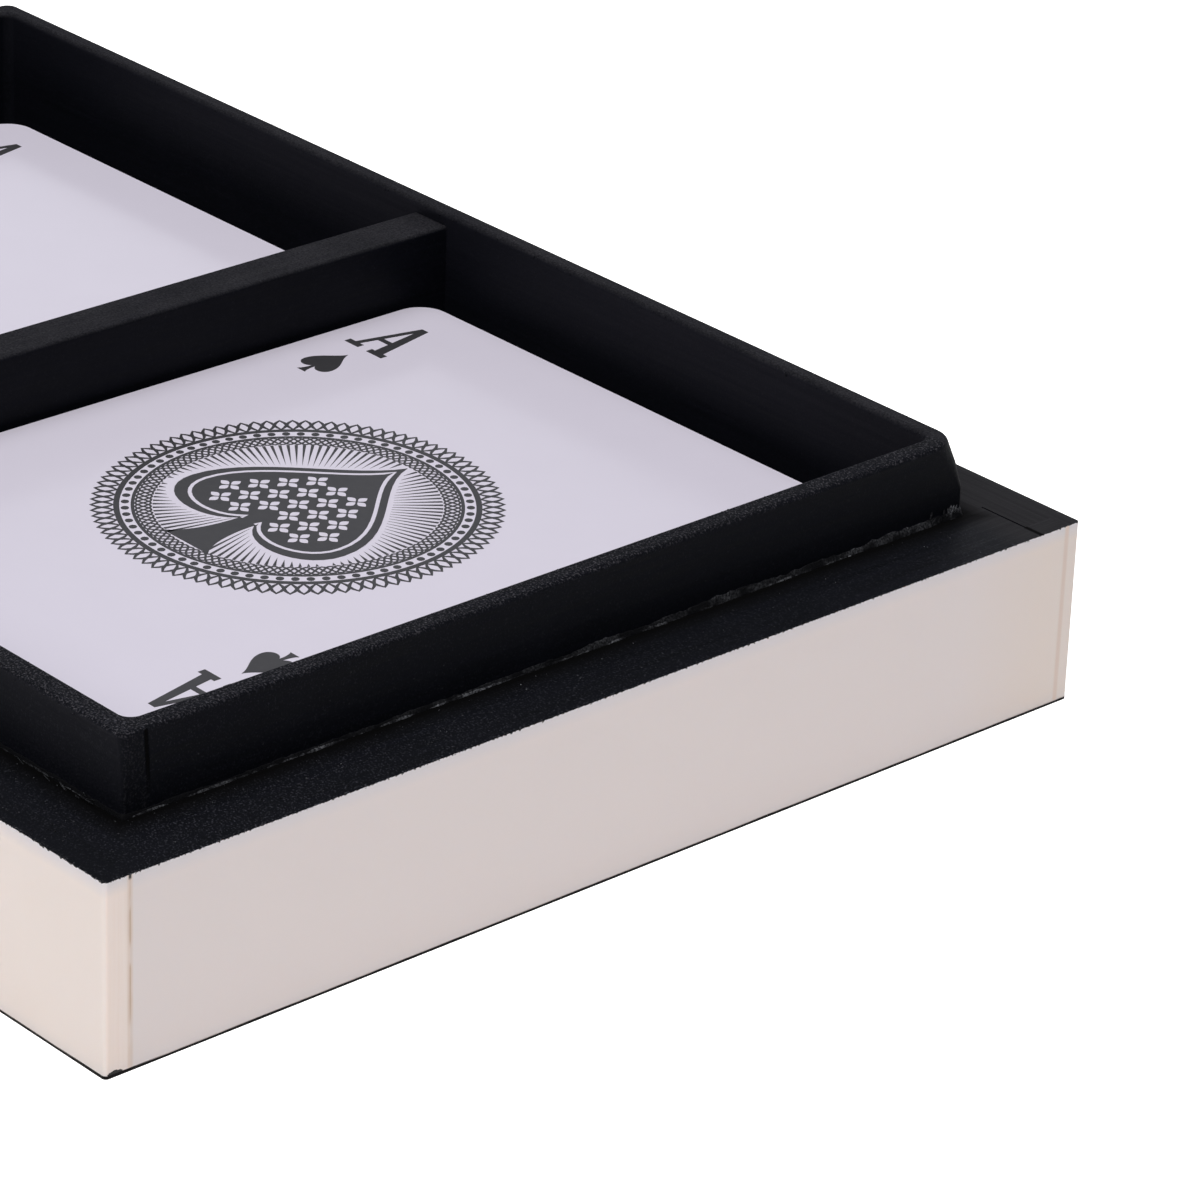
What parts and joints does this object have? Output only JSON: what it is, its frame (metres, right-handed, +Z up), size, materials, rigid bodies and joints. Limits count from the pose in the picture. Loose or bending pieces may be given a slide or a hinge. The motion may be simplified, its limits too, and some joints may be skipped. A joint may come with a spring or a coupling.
{
  "type": "playing card box",
  "caption": "Low rectangular card box with a stepped lip, a divider, card decks lying face up in the tray and a lift-off lid.",
  "frame": {"origin": "middle of the tray's underside, on the surface that it stands on", "axes": "+X along the tray's long side to its right end, +Y to the back, +Z up"},
  "size_m": [0.37, 0.1216, 0.0278],
  "materials": {
    "white_resin": "satin warm white cast resin, sanded and buffed",
    "black_painted_board": "matt black paint on fibreboard",
    "black_lining": "thin black lining",
    "playing_card": "coated white card stock"
  },
  "bodies": {
    "tray": {"front_white_strip": "white_resin", "back_white_strip": "white_resin", "left_white_strip": "white_resin", "right_white_strip": "white_resin", "front_wall": "black_painted_board", "back_wall": "black_painted_board", "left_wall": "black_painted_board", "right_wall": "black_painted_board", "front_lip": "black_painted_board", "back_lip": "black_painted_board", "left_lip": "black_painted_board", "right_lip": "black_painted_board", "divider": "black_painted_board", "bottom_board": "black_painted_board", "base_lining": "black_lining"},
    "right_deck": {"right_deck_cards": "playing_card"},
    "left_deck": {"left_deck_cards": "playing_card"},
    "right_ace": {"right_top_card": "playing_card"},
    "left_ace": {"left_top_card": "playing_card"},
    "lid": {"lid_front_white_strip": "white_resin", "lid_back_white_strip": "white_resin", "lid_left_white_strip": "white_resin", "lid_right_white_strip": "white_resin", "lid_front_wall": "black_painted_board", "lid_back_wall": "black_painted_board", "lid_left_wall": "black_painted_board", "lid_right_wall": "black_painted_board", "lid_top_sheet": "white_resin", "lid_top_board": "black_painted_board"}
  },
  "joints": [
    {"name": "right_deck_lift", "type": "slide", "parent": "tray", "child": "right_deck", "axis": [0, 0, 1], "range_m": [0, 0.045]},
    {"name": "left_deck_lift", "type": "slide", "parent": "tray", "child": "left_deck", "axis": [0, 0, 1], "range_m": [0, 0.045]},
    {"name": "right_top_card_lift", "type": "slide", "parent": "right_deck", "child": "right_ace", "axis": [0, 0, 1], "range_m": [0, 0.03]},
    {"name": "left_top_card_lift", "type": "slide", "parent": "left_deck", "child": "left_ace", "axis": [0, 0, 1], "range_m": [0, 0.03]},
    {"name": "lid_lift", "type": "slide", "parent": "tray", "child": "lid", "axis": [0, 0, 1], "range_m": [0, 0.06]}
  ]
}
